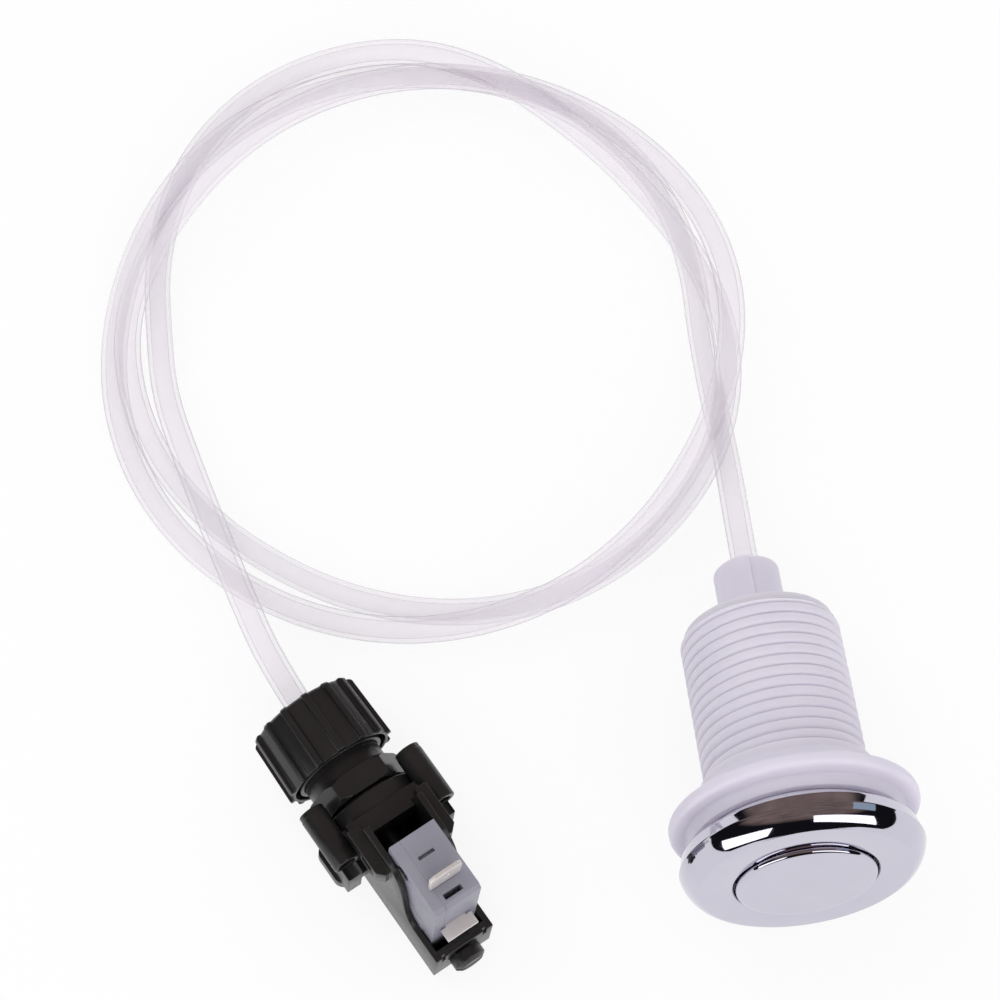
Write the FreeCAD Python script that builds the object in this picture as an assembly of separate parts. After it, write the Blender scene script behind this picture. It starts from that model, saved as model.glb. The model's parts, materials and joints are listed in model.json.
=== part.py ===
"""Spa air switch: a push button that sends a puff of air through a clear tube to a small snap-switch module.

It lies on a table: the button on its lock nut and the end of its thread, the tube in a loose coil, the module
on its back. Millimetres, +Z up, the table at z = 0. The button and the module are each built in a frame of
their own, with the axis along local +Z, and are then laid down.
"""

import math
import os

import FreeCAD
import Part

V = FreeCAD.Vector

# Where things lie on the table
button_x, button_y = 35.40, 25.22
button_turn = math.radians(6.75)
module_x, module_y = -55.44, 9.51
module_turn = math.radians(35.2)
module_roll = math.radians(4.5)
coil_x, coil_y = -33.1, 96.35

# Air tube
tube_r = 2.8
tube_bore_r = 1.8
coil_outer_r = 72.0
coil_inner_r = 53.5
coil_h = 14.6
coil_edge = 3.2
hose_straight = 7.0
button_hose_end = (31.3, 66.75, 4.6)
switch_hose_end = (-69.7, 37.05, 10.4)
switch_hose_straight = 9.0
hose_socket_gap = 0.2
socket_gap = 0.1
nipple_r = 1.65
air_r = 0.8

# Button: local z = 0 is the panel's face, +z comes out of the panel
thread_r = 16.0
thread_wall = 1.5
body_end = -48.4
thread_chamfer = 0.6
thread_ring_pitch = 4.68
thread_ring_depth = 0.6
thread_ring_half = 0.6
flange_over = 5.3
flange_r = thread_r + flange_over
flange_t = 3.6
lip_t = 2.2
lip_gap = 0.2
button_inset = 2.4
button_r = thread_r - button_inset
bezel_over = 2.5
bezel_r = flange_r + bezel_over
bezel_round = 3.8
bezel_flat_r = bezel_r - bezel_round
bezel_h = 6.9
bezel_hole_gap = 0.6
bezel_hole_r = button_r + bezel_hole_gap
bezel_widest_z = 2.1
bezel_shoulder_steps = 4
button_rise = 1.0
button_edge = 1.1
button_wall = 1.6
button_skirt_end = -8.0
button_ring_t = 1.6
button_boss_r = 4.0
button_travel = 4.5
stop_gap = 0.3
stop_t = 1.6
stop_ledge = 2.2
stop_hole_r = thread_r - thread_wall - stop_ledge
gasket_over = 3.3
gasket_r = thread_r + gasket_over
gasket_t = 2.4
nut_over = 8.3
nut_r = thread_r + nut_over
nut_step_over = 3.5
nut_step_r = thread_r + nut_step_over
nut_rim_z = -4.6
nut_rim_t = 3.4
nut_rim_round = 1.1
nut_hub_wall = 1.1
nut_hub_r = thread_r + nut_hub_wall
nut_end_z = -19.0
nut_flare = ((0.57, 0.17), (0.30, 0.42), (0.10, 0.71))
fit_gap = 0.05
cap_t = 2.6
cap_gap = 0.05
collar_r = 6.9
collar_cut_r = 6.45
collar_len = 13.9
collar_ledge = 2.6
collar_socket = 11.4
bellows_gap = 0.7
bellows_r = stop_hole_r - bellows_gap
bellows_wall = 0.8
bellows_depth = 2.3
bellows_folds = 5
bellows_sides = 20
spring_in = 2.1
spring_r = bellows_r - bellows_depth - bellows_wall - spring_in
spring_wire_r = 0.45
spring_turns = 6
spring_facets = 12
seat_gap = 0.3

# Module: local z = 0 is the tube end of the fluted nut, +z runs to the knob, +y is its front, +x its right
cap_nut_r = 11.75
cap_nut_low_r = 12.1
cap_nut_len = 13.8
cap_nut_ribs = 14
cap_nut_rib_w = 1.5
cap_nut_flute = 0.85
cap_nut_pocket_z = 6.0
cap_nut_pocket = (9.9, 10.6)
stem_r = 8.5
stem_top = 5.6
stem_socket_end = 14.0
ferrule_t = 2.7
ferrule_r = 5.4
hex_af = 19.05
hex_z = (17.5, 22.3)
block_z = 30.6
block_w = 16.0
block_front = 10.6
block_split = 26.6
block_back = -9.4
chamber_r = 6.4
chamber_t = 1.3
boss_x = 11.2
boss_y = 6.6
boss_r = 2.65
boss_z = (19.6, 31.2)
boss_hole_r = 1.6
boss_hole_len = boss_z[1] - block_split
ear_x = 13.2
ear_z = (24.0, 33.4)
ear_y = (-5.6, -2.6)
ear_round = 2.2
stub_len = 3.6
bracket_end = 56.5
bracket_wall = 1.25
bracket_back = -10.8
bracket_back_t = 1.1
end_wall_t = 1.9
end_wall_front = -0.5
wall_front = (17.0, 16.2)
wall_curve_z = (38.6, 42.0, 44.6, 47.4)
end_notch = (0.8, 2.6)
arm_w = 2.4
arm_y = (9.2, 13.8)
arm_end = 39.8
arm_window = (33.6, 36.6)
switch_z = 36.6
switch_len = 15.9
switch_w = 10.3
switch_gap = 0.28
bracket_w = switch_w + 2 * (bracket_wall + switch_gap)
switch_tall = 27.8
switch_front = 18.5
switch_wall = 1.2
cover_t = 2.4
pivot_r = 1.5
pivot_hole_r = 1.55
pivot_front = 2.8
pivot_back = 5.0
pivot_span = 22.2
front_slot_x = (-1.7, 1.9)
front_slot_z = (4.6, 5.3)
front_window_x = (-1.9, 2.1)
front_window_z = (13.1, 14.3)
plunger_w = 3.2
plunger_t = 2.2
plunger_rise = 1.3
plunger_gap = 0.08
tab_w = 7.0
tab_t = 0.8
tab_len = 6.6
common_z = 10.9
output_y = 5.0
pusher_r = 2.4
pusher_foot_r = 5.2
pusher_foot_t = 1.0
knob_r = 3.4
knob_len = 3.0
screw_r = 1.6
screw_gap = 0.06
screw_y = -5.6


def cylinder(radius, low, high, x=0.0, y=0.0):
    """A cylinder along local z from low to high."""
    return Part.makeCylinder(radius, high - low, V(x, y, low))


def block(x_range, y_range, z_range):
    """A box between the given limits, each as (low, high)."""
    low = V(x_range[0], y_range[0], z_range[0])
    return Part.makeBox(x_range[1] - low.x, y_range[1] - low.y, z_range[1] - low.z, low)


def turned(points):
    """A solid turned about local z from an outline of (radius, z) points."""
    outline = Part.makePolygon([V(r, 0, z) for r, z in points + points[:1]])
    return Part.Face(outline).revolve(V(0, 0, 0), V(0, 0, 1), 360)


def quarter(centre, radius_r, radius_z, start, steps):
    """Points of a quarter round in the (radius, z) half-plane, turning clockwise from the angle start."""
    points = []
    for i in range(steps + 1):
        angle = math.radians(start - 90 * i / steps)
        points.append((centre[0] + radius_r * math.cos(angle), centre[1] + radius_z * math.sin(angle)))
    return points


def facet_turned(outer, inner, sides):
    """A closed skin of flat facets about local z: an outer line, a flat top, and an inner line under it."""
    def ring(r, z):
        return [V(r * math.cos(2 * math.pi * i / sides), r * math.sin(2 * math.pi * i / sides), z)
                for i in range(sides)]

    faces = []
    for line in (outer, inner, [outer[0], inner[0]]):
        rings = [ring(r, z) for r, z in line]
        for low, high in zip(rings, rings[1:]):
            for i in range(sides):
                j = (i + 1) % sides
                faces.append(Part.Face(Part.makePolygon([low[i], low[j], high[j], high[i], low[i]])))
        if line is outer or line is inner:
            faces.append(Part.Face(Part.makePolygon(rings[-1] + rings[-1][:1])))
    shell = Part.makeShell(faces)
    shell.sewShape()
    solid = Part.makeSolid(shell)
    return solid if solid.Volume > 0 else solid.reversed()


def plate(points, low, high):
    """A prism: a polygon of (x, y) points, drawn from low to high along local z."""
    outline = Part.makePolygon([V(x, y, low) for x, y in points + points[:1]])
    return Part.Face(outline).extrude(V(0, 0, high - low))


def frame_of(axis, front, roll=0.0):
    """The rotation that lays local z along axis and local y towards front, turned by roll about the axis."""
    right = front.cross(axis).normalize()
    up = axis.cross(right).normalize()
    leaning = up * math.cos(roll) + right * math.sin(roll)
    return FreeCAD.Rotation(leaning.cross(axis), leaning, axis, "ZXY")


# The button leans on the rim of its nut and the end of its thread
nut_low_z = nut_rim_z - nut_rim_t + nut_rim_round
thread_low_z = body_end + thread_chamfer
button_tilt = math.atan((nut_r - thread_r) / (nut_low_z - thread_low_z))
button_axis = V(math.sin(button_turn) * math.cos(button_tilt),
                -math.cos(button_turn) * math.cos(button_tilt), math.sin(button_tilt))
thread_low_height = thread_r * math.cos(button_tilt)
button_origin = V(button_x, button_y, thread_low_height) - button_axis * thread_low_z
button_place = FreeCAD.Placement(button_origin, frame_of(button_axis, V(0, 0, 1)))

# The module leans on the rim of its nut and the back corner of its bracket
corner_drop = -bracket_back * math.cos(module_roll) + bracket_w / 2 * math.sin(module_roll)
module_pitch = math.atan((cap_nut_low_r - corner_drop) / (bracket_end - cap_nut_len))
module_axis = V(math.sin(module_turn) * math.cos(module_pitch),
                -math.cos(module_turn) * math.cos(module_pitch), -math.sin(module_pitch))
module_height = cap_nut_low_r * math.cos(module_pitch) + cap_nut_len * math.sin(module_pitch)
module_origin = V(module_x, module_y, module_height)
module_place = FreeCAD.Placement(module_origin, frame_of(module_axis, V(0, 0, 1), module_roll))


def button_housing():
    """The white threaded shell with its flange, stop ledge and button opening."""
    bore = thread_r - thread_wall
    lip_r = button_r + lip_gap
    rings = []
    z = nut_end_z - thread_ring_half
    while z > thread_low_z + 2 * thread_ring_half:
        rings += [(thread_r, z), (thread_r - thread_ring_depth, z - thread_ring_half),
                  (thread_r, z - 2 * thread_ring_half)]
        z -= thread_ring_pitch
    shell = turned([
        (lip_r, flange_t), (flange_r, flange_t), (flange_r, 0), (thread_r, 0)] + rings + [
        (thread_r, thread_low_z), (thread_r - thread_chamfer, body_end), (bore, body_end),
        (bore, flange_t - lip_t), (lip_r, flange_t - lip_t)])
    stop_top = button_skirt_end - button_travel - stop_gap
    ledge = cylinder(bore + fit_gap, stop_top - stop_t, stop_top).cut(
        cylinder(stop_hole_r, stop_top - stop_t, stop_top))
    return shell.fuse(ledge).removeSplitter()


def bezel_trim():
    """The chrome dress ring: a flat face with a rounded shoulder, hollow over the flange."""
    shoulder = quarter((bezel_flat_r, bezel_widest_z), bezel_r - bezel_flat_r, bezel_h - bezel_widest_z, 90,
                       bezel_shoulder_steps)
    return turned(shoulder + [
        (bezel_r - 0.5, 0), (flange_r + fit_gap, 0), (flange_r + fit_gap, flange_t + fit_gap),
        (bezel_hole_r, flange_t + fit_gap), (bezel_hole_r, bezel_h)])


def push_button():
    """The chrome button: a capped sleeve with a stop ring and a boss that meets the bellows."""
    top = bezel_h + button_rise
    ring_top = flange_t - lip_t - stop_gap
    ring_r = thread_r - thread_wall - lip_gap
    inner = button_r - button_wall
    cap = turned([
        (0, top), (button_r - button_edge, top), (button_r - button_edge * 0.3, top - button_edge * 0.3),
        (button_r, top - button_edge), (button_r, ring_top), (ring_r, ring_top),
        (ring_r, ring_top - button_ring_t), (button_r, ring_top - button_ring_t), (button_r, button_skirt_end),
        (inner, button_skirt_end), (inner, top - button_wall), (0, top - button_wall)])
    boss = cylinder(button_boss_r, button_skirt_end, top - button_wall + fit_gap)
    return cap.fuse(boss).removeSplitter()


def sealing_gasket():
    """The flat ring that seals the flange against the panel."""
    return cylinder(gasket_r, -gasket_t, 0).cut(cylinder(thread_r + fit_gap, -gasket_t, 0))


def lock_nut():
    """The flanged nut: a stepped front, a rounded rim and a hub that flares out in a hollow cone."""
    rim_back = nut_rim_z - nut_rim_t
    edge_r = nut_r - nut_rim_round
    flare = [(nut_hub_r + (edge_r - nut_hub_r) * wide, rim_back + (nut_end_z - rim_back) * along)
             for wide, along in nut_flare]
    rim = quarter((edge_r, nut_rim_z - nut_rim_round), nut_rim_round, nut_rim_round, 90, 2)
    rim += quarter((edge_r, nut_low_z), nut_rim_round, nut_rim_round, 0, 2)
    return turned(rim + flare + [
        (nut_hub_r, nut_end_z), (thread_r + fit_gap, nut_end_z), (thread_r + fit_gap, -gasket_t),
        (nut_step_r, -gasket_t), (nut_step_r, nut_rim_z)])


def rear_cap():
    """The white plug that closes the thread, with the stepped collar and the nipple that hold the tube."""
    collar_end = body_end - collar_len
    socket_end = collar_end + collar_socket
    cap = cylinder(thread_r - thread_wall - cap_gap, body_end, body_end + cap_t)
    collar = cylinder(collar_r, collar_end, body_end)
    step = cylinder(collar_r + 1, collar_end - 1, body_end - collar_ledge).cut(
        cylinder(collar_cut_r, collar_end - 1, body_end - collar_ledge))
    wide = 2 * collar_r
    collar = collar.cut(step.common(block((0, wide), (-wide, wide), (collar_end - 1, body_end))))
    solid = cap.fuse(collar).cut(cylinder(tube_r + socket_gap, collar_end, socket_end))
    solid = solid.fuse(cylinder(nipple_r, collar_end + 3.0, socket_end + fit_gap))
    return solid.cut(cylinder(air_r, collar_end, body_end + cap_t)).removeSplitter()


def bellows():
    """The rubber bellows: a closed top, folds, and an open foot on the rear cap."""
    low = body_end + cap_t
    high = button_skirt_end - seat_gap
    fold = (high - low) / bellows_folds
    outer, inner = [], []
    for i in range(bellows_folds):
        z = low + i * fold
        outer += [(bellows_r - bellows_depth, z), (bellows_r, z + fold / 2)]
        inner += [(bellows_r - bellows_depth - bellows_wall, z), (bellows_r - bellows_wall, z + fold / 2)]
    outer.append((bellows_r - bellows_depth, high))
    inner.append((bellows_r - bellows_depth - bellows_wall, high - bellows_wall))
    return facet_turned(outer, inner, bellows_sides)


def return_spring():
    """The coil spring inside the bellows, from the rear cap up to the bellows' top."""
    low = body_end + cap_t + spring_wire_r + seat_gap
    high = button_skirt_end - seat_gap - bellows_wall - spring_wire_r - seat_gap
    count = spring_turns * spring_facets
    path = []
    for i in range(count + 1):
        angle = 2 * math.pi * i / spring_facets
        path.append(V(spring_r * math.cos(angle), spring_r * math.sin(angle), low + (high - low) * i / count))
    along = (path[1] - path[0]).normalize()
    side = along.cross(V(0, 0, 1)).normalize()
    rise = along.cross(side)
    section = []
    for i in range(9):
        angle = 2 * math.pi * i / 8
        section.append(path[0] + side * spring_wire_r * math.cos(angle) + rise * spring_wire_r * math.sin(angle))
    return Part.makePolygon(path).makePipeShell([Part.makePolygon(section)], True, False, 1)


def fluted_nut():
    """The black cap nut: ribs and flutes outside, a threaded sleeve inside, hollow pockets at its low end."""
    core_r, low_core_r = cap_nut_r - cap_nut_flute, cap_nut_low_r - cap_nut_flute
    core = turned([(0, 0), (core_r - 0.6, 0), (core_r, 0.6), (low_core_r, cap_nut_len), (0, cap_nut_len)])
    limit = turned([(0, 0), (cap_nut_r - 0.6, 0), (cap_nut_r, 0.6), (cap_nut_low_r, cap_nut_len),
                    (0, cap_nut_len)])
    ribs = []
    for i in range(cap_nut_ribs):
        rib = block((core_r - 1, cap_nut_low_r + 1), (-cap_nut_rib_w / 2, cap_nut_rib_w / 2), (0, cap_nut_len))
        rib.rotate(V(0, 0, 0), V(0, 0, 1), 360 * (i + 0.5) / cap_nut_ribs)
        ribs.append(rib.common(limit))
    nut = core.multiFuse(ribs)
    nut = nut.cut(cylinder(tube_r + socket_gap, 0, cap_nut_len))
    nut = nut.cut(cylinder(stem_r + fit_gap, stem_top - ferrule_t - fit_gap, cap_nut_len))
    pocket = cylinder(cap_nut_pocket[1], cap_nut_pocket_z, cap_nut_len).cut(
        cylinder(cap_nut_pocket[0] - 0.4, cap_nut_pocket_z, cap_nut_len))
    for i in range(cap_nut_ribs // 2):
        web = block((0, cap_nut_low_r), (-0.5, 0.5), (cap_nut_pocket_z, cap_nut_len - 1.2))
        web.rotate(V(0, 0, 0), V(0, 0, 1), 360 * (2 * i + 0.5) / cap_nut_ribs)
        pocket = pocket.cut(web)
    return nut.cut(pocket).removeSplitter()


def ferrule():
    """The cone ring that grips the tube when the fluted nut is tightened."""
    low = stem_top - ferrule_t
    return turned([(tube_r + socket_gap, low), (ferrule_r, low), (ferrule_r, low + 0.9),
                   (tube_r + 0.7, stem_top - fit_gap), (tube_r + socket_gap, stem_top - fit_gap)])


def hexagon(across_flats, low, high):
    """A hexagonal prism with a flat towards +y."""
    corner = across_flats / math.sqrt(3)
    points = [(corner * math.cos(math.radians(60 * i)), corner * math.sin(math.radians(60 * i)))
              for i in range(6)]
    return plate(points, low, high)


def inlet_housing():
    """The black inlet: threaded stem, hexagon, and the shoulders that close the diaphragm's chamber."""
    low, high = hex_z
    corner = hex_af / math.sqrt(3)
    bevel = turned([(0, low), (corner - 1.1, low), (corner + 0.1, low + 1.0), (corner + 0.1, high - 1.0),
                    (corner - 1.1, high), (0, high)])
    stem = cylinder(stem_r, stem_top, low + fit_gap)
    body = hexagon(hex_af, low, high).common(bevel).fuse(stem)
    shoulder = Part.makeLoft([
        rectangle_wire(block_w * 0.36, hex_af * 0.40, -hex_af * 0.40, high - 0.4),
        rectangle_wire(block_w * 0.5, block_front, block_back, block_split)], True, True)
    body = body.fuse(shoulder)
    for side in (-1, 1):
        body = body.fuse(boss_half(side, boss_z[0], block_split))
    body = body.cut(cylinder(tube_r + socket_gap, stem_top, stem_socket_end))
    body = body.fuse(cylinder(nipple_r, stem_top + 2.4, stem_socket_end + fit_gap))
    body = body.cut(cylinder(air_r, stem_top, block_split))
    return body.cut(cylinder(chamber_r, block_split - chamber_t, block_split)).removeSplitter()


def rectangle_wire(half, front, back, z):
    """A rectangle across local z, half wide each way, from back to front."""
    corners = [V(-half, back, z), V(half, back, z), V(half, front, z), V(-half, front, z)]
    return Part.makePolygon(corners + corners[:1])


def boss_half(side, low, high):
    """One round side boss with the web that ties it to the block."""
    post = cylinder(boss_r, low, high, side * boss_x, boss_y)
    inner, outer = sorted((side * (block_w / 2 - 1.0), side * boss_x))
    web = block((inner, outer), (boss_y - 1.3, boss_y + 1.3), (max(low, hex_z[1] + 1.2), high))
    return post.fuse(web)


def switch_bracket():
    """The black frame: chamber half, side bosses and ears, snap arms, channel for the switch and end wall."""
    half = bracket_w / 2
    head = block((-block_w / 2, block_w / 2), (block_back, block_front), (block_split, block_z))
    body = head
    for side in (-1, 1):
        body = body.fuse(boss_half(side, block_split, boss_z[1]))
        body = body.fuse(ear(side))
        body = body.fuse(side_wall(side))
        body = body.fuse(snap_arm(side))
    body = body.fuse(block((-half, half), (bracket_back, bracket_back + bracket_back_t),
                           (block_split, bracket_end)))
    body = body.fuse(block((-half, half), (bracket_back, end_wall_front),
                           (bracket_end - end_wall_t, bracket_end)))
    for side in (-1, 1):
        x = side * (half - 1.9)
        body = body.cut(block((x - end_notch[0] / 2, x + end_notch[0] / 2),
                              (end_wall_front - end_notch[1], end_wall_front + 1),
                              (bracket_end - 0.6, bracket_end + 1)))
    # the air chamber's seat, the pusher's guide and the hollow in front of the switch
    body = body.cut(cylinder(chamber_r, block_split, block_split + chamber_t))
    body = body.cut(cylinder(pusher_r + plunger_gap, block_split, block_z + 1))
    body = body.cut(cylinder(pusher_foot_r + 0.3, block_split, block_split + chamber_t + pusher_foot_t + 1.2))
    body = body.cut(cylinder(screw_r + screw_gap, bracket_end - end_wall_t - 1, bracket_end + 1, 0, screw_y))
    for side in (-1, 1):
        body = body.cut(cylinder(boss_hole_r, boss_z[1] - boss_hole_len, boss_z[1] + 1, side * boss_x, boss_y))
        body = body.fuse(pivot_stud(side))
    return body.removeSplitter()


def ear(side):
    """The flat ear with rounded corners that backs each boss, and the square stub below it."""
    inner, outer = side * (bracket_w / 2 - 1), side * ear_x
    low, high = ear_z
    lug = block(tuple(sorted((inner, outer))), ear_y, ear_z)
    corners = [e for e in lug.Edges
               if abs(e.Vertexes[0].X - outer) < 1e-6 and abs(e.Vertexes[1].X - outer) < 1e-6
               and abs(e.Vertexes[0].Z - e.Vertexes[1].Z) < 1e-6]
    lug = lug.makeFillet(ear_round, corners)
    lug = lug.cut(block((-block_w / 2 - fit_gap, block_w / 2 + fit_gap), (block_back - 2, block_front),
                        (low - 1, block_split)))
    stub = block(tuple(sorted((side * (boss_x - 1.9), side * (boss_x + 1.3)))), (ear_y[1] - 1, boss_y),
                 (high - 5.0, boss_z[1] + stub_len))
    bore = cylinder(boss_hole_r + 0.6, boss_z[1], boss_z[1] + stub_len + 1, side * boss_x, boss_y)
    return lug.fuse(stub.cut(bore))


def side_wall(side):
    """One side wall of the switch channel: tall by the head, sweeping down to the end wall."""
    start, bend, mid, foot = wall_curve_z
    inner = side * (bracket_w / 2 - bracket_wall)
    outer = side * bracket_w / 2
    x = min(inner, outer)
    back = bracket_back

    def at(z, y):
        return V(x, y, z)

    sweep = Part.BSplineCurve()
    sweep.interpolate([at(start, wall_front[1]), at(bend, wall_front[1] - 2.6), at(mid, 6.0),
                       at(foot, end_wall_front + 0.6), at(foot + 2.6, end_wall_front)])
    edges = [
        Part.LineSegment(at(block_split, back), at(bracket_end, back)).toShape(),
        Part.LineSegment(at(bracket_end, back), at(bracket_end, end_wall_front)).toShape(),
        Part.LineSegment(at(bracket_end, end_wall_front), at(foot + 2.6, end_wall_front)).toShape(),
        sweep.toShape(),
        Part.LineSegment(at(start, wall_front[1]), at(block_z, wall_front[0])).toShape(),
        Part.LineSegment(at(block_z, wall_front[0]), at(block_z - 1.4, block_front)).toShape(),
        Part.LineSegment(at(block_z - 1.4, block_front), at(block_split, block_front)).toShape(),
        Part.LineSegment(at(block_split, block_front), at(block_split, back)).toShape()]
    wire = Part.Wire(Part.__sortEdges__(edges))
    return Part.Face(wire).extrude(V(bracket_wall, 0, 0))


def snap_arm(side):
    """One snap arm beside the channel, with its window and a chamfered tip."""
    inner, outer = side * (bracket_w / 2 - 0.2), side * (bracket_w / 2 + arm_w)
    low, high = arm_y
    arm = block(tuple(sorted((inner, outer))), arm_y, (block_z - 2.0, arm_end))
    tip = [e for e in arm.Edges
           if all(abs(v.X - outer) < 1e-6 and abs(v.Z - arm_end) < 1e-6 for v in e.Vertexes)]
    arm = arm.makeChamfer(1.4, tip)
    middle = (low + high) / 2
    window = block(tuple(sorted((side * (bracket_w / 2 + 0.5), outer + side))), (middle - 1.1, middle + 1.1),
                   arm_window)
    return arm.cut(window)


def pivot_stud(side):
    """The stud in a side wall on which the switch rocks."""
    reach = 1.6
    wall = bracket_w / 2 - bracket_wall
    low = -wall - 0.2 if side < 0 else wall - reach
    y, z = pivot_centre()
    return Part.makeCylinder(pivot_r, reach + 0.2, V(low, y, z), V(1, 0, 0))


def pivot_centre():
    """Local (y, z) of the hole on which the switch rocks."""
    return switch_front - pivot_front, switch_z + pivot_back


def switch_span():
    """Local limits of the snap switch's body in y and z."""
    return (switch_front - switch_tall, switch_front), (switch_z, switch_z + switch_len)


def switch_case():
    """The grey case of the snap switch, open on its left side towards the cover."""
    y_span, z_span = switch_span()
    left, right = cover_plane(), switch_w / 2
    body = block((left, right), y_span, z_span)
    inner_y = (y_span[0] + switch_wall, pivot_centre()[0] - pivot_r - 1.6)
    inner_z = (z_span[0] + switch_wall, z_span[1] - switch_wall)
    body = body.cut(block((left, right - switch_wall), inner_y, inner_z))
    body = body.cut(plunger_window())
    body = body.cut(pivot_bores())
    # a thin moulded slot and a small window in the front end, as the photograph shows
    front = y_span[1]
    body = body.cut(block(front_slot_x, (front - 0.5, front + 1), [z_span[0] + z for z in front_slot_z]))
    body = body.cut(block(front_window_x, (front - 1.4, front + 1), [z_span[0] + z for z in front_window_z]))
    body = body.cut(tab_slot("common")).cut(tab_slot("output"))
    far = [e for e in body.Edges if all(abs(v.Z - z_span[1]) < 1e-6 and abs(v.Y - front) < 1e-6
                                        for v in e.Vertexes)]
    return body.makeChamfer(0.8, far) if far else body


def cover_plane():
    """Local x of the parting line between the case and its cover."""
    return -switch_w / 2 + cover_t


def switch_cover():
    """The grey cover plate on the switch's left side."""
    y_span, z_span = switch_span()
    body = block((-switch_w / 2, cover_plane()), y_span, z_span)
    hollow = block((cover_plane() - 1.0, cover_plane()), (y_span[0] + switch_wall, pivot_centre()[0] - pivot_r - 1.6),
                   (z_span[0] + switch_wall, z_span[1] - switch_wall))
    body = body.cut(hollow).cut(pivot_bores()).cut(tab_slot("common")).cut(tab_slot("output"))
    rib = block((-switch_w / 2 - 0.15, -switch_w / 2 + 0.1), (-3.0, 4.0), (z_span[0] + 4.0, z_span[1] - 3.0))
    far = [e for e in body.Edges if all(abs(v.Z - z_span[1]) < 1e-6 and abs(v.Y - y_span[1]) < 1e-6
                                        for v in e.Vertexes)]
    return body.makeChamfer(0.8, far).fuse(rib).removeSplitter()


def pivot_bores():
    """The two cross holes of the snap switch."""
    y, z = pivot_centre()
    far_y = y - pivot_span
    holes = [Part.makeCylinder(pivot_hole_r, switch_w + 2, V(-switch_w / 2 - 1, at, z), V(1, 0, 0))
             for at in (y, far_y)]
    return holes[0].fuse(holes[1])


def plunger_window():
    """The hole that the switch's plunger slides in."""
    half_w = plunger_w / 2 + plunger_gap
    half_t = plunger_t / 2 + plunger_gap
    return block((-half_w, half_w), (-half_t, half_t), (switch_z - 1, switch_z + switch_wall + 1))


def tab_slot(which):
    """The opening that a terminal's blade passes through, tight to the blade."""
    half = tab_w / 2 - 1.2 + fit_gap
    y_span, z_span = switch_span()
    if which == "common":
        z = switch_z + common_z
        return block((-half, half), (y_span[1] - 3.5, y_span[1] + 1), (z - tab_t / 2 - fit_gap, z + tab_t / 2 + fit_gap))
    return block((-half, half), (output_y - tab_t / 2 - fit_gap, output_y + tab_t / 2 + fit_gap),
                 (z_span[1] - switch_wall - 0.5, z_span[1] + 1))


def tab_plan(root, reach):
    """A terminal's outline: a narrower root, square shoulders and a tip with clipped corners."""
    neck, half, clip = tab_w / 2 - 1.2, tab_w / 2, 0.9
    return [(-neck, -root), (neck, -root), (neck, 0.3), (half, 0.3), (half, reach - clip), (half - clip, reach),
            (-half + clip, reach), (-half, reach - clip), (-half, 0.3), (-neck, 0.3)]


def common_terminal():
    """The blade on the front end of the switch, with its root inside the case."""
    z = switch_z + common_z
    y_span, _ = switch_span()
    blade = plate(tab_plan(3.4, tab_len), -tab_t / 2, tab_t / 2)
    blade = blade.cut(cylinder(0.8, -1, 1, 0, tab_len * 0.6))
    blade.translate(V(0, y_span[1], z))
    return blade


def output_terminal():
    """The blade on the far side of the switch, with its fixed contact inside."""
    _, z_span = switch_span()
    blade = plate(tab_plan(1.6, tab_len), -tab_t / 2, tab_t / 2)
    blade = blade.cut(cylinder(0.8, -1, 1, 0, tab_len * 0.6))
    blade.rotate(V(0, 0, 0), V(1, 0, 0), 90)
    blade.translate(V(0, output_y, z_span[1]))
    leg = block((-1.4, 1.4), (-6.2, output_y + tab_t / 2), (z_span[1] - 2.4, z_span[1] - 1.6))
    contact = cylinder(1.3, z_span[1] - 3.2, z_span[1] - 2.4, 0, -4.6)
    return blade.fuse(leg).fuse(contact).removeSplitter()


def contact_blade():
    """The springy strip inside the switch, from the common terminal's side to the moving contact."""
    z = switch_z + 7.6
    strip = block((-1.9, 1.9), (-6.4, pivot_centre()[0] - pivot_r - 1.8), (z, z + 0.3))
    contact = cylinder(1.3, z + 0.3, z + 1.3, 0, -4.6)
    return strip.fuse(contact).removeSplitter()


def switch_plunger():
    """The small plunger of the snap switch, with the foot that keeps it in."""
    top = switch_z - plunger_rise
    stem = block((-plunger_w / 2, plunger_w / 2), (-plunger_t / 2, plunger_t / 2),
                 (top, switch_z + 6.6))
    foot = block((-plunger_w / 2, plunger_w / 2), (-plunger_t / 2 - 0.8, plunger_t / 2 + 0.8),
                 (switch_z + switch_wall + seat_gap, switch_z + 3.2))
    return stem.fuse(foot).removeSplitter()


def diaphragm():
    """The rubber disc clamped between the inlet and the bracket, with a raised fold."""
    rim = chamber_r - 0.05
    low, high = block_split - 0.45, block_split + 0.45
    return turned([(0, low), (pusher_foot_r - 0.6, low), (pusher_foot_r - 0.2, low - 0.6),
                   (pusher_foot_r + 0.3, low - 0.6), (pusher_foot_r + 0.6, low), (rim, low), (rim, high),
                   (pusher_foot_r + 0.5, high), (pusher_foot_r + 0.1, low + 0.1), (pusher_foot_r - 0.4, high),
                   (0, high)])


def pusher():
    """The mushroom between the diaphragm and the switch's plunger."""
    foot = block_split + 0.45 + seat_gap
    tip = switch_z - plunger_rise - seat_gap
    return cylinder(pusher_foot_r - 0.6, foot, foot + pusher_foot_t).fuse(
        cylinder(pusher_r, foot + pusher_foot_t - fit_gap, tip)).removeSplitter()


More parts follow.
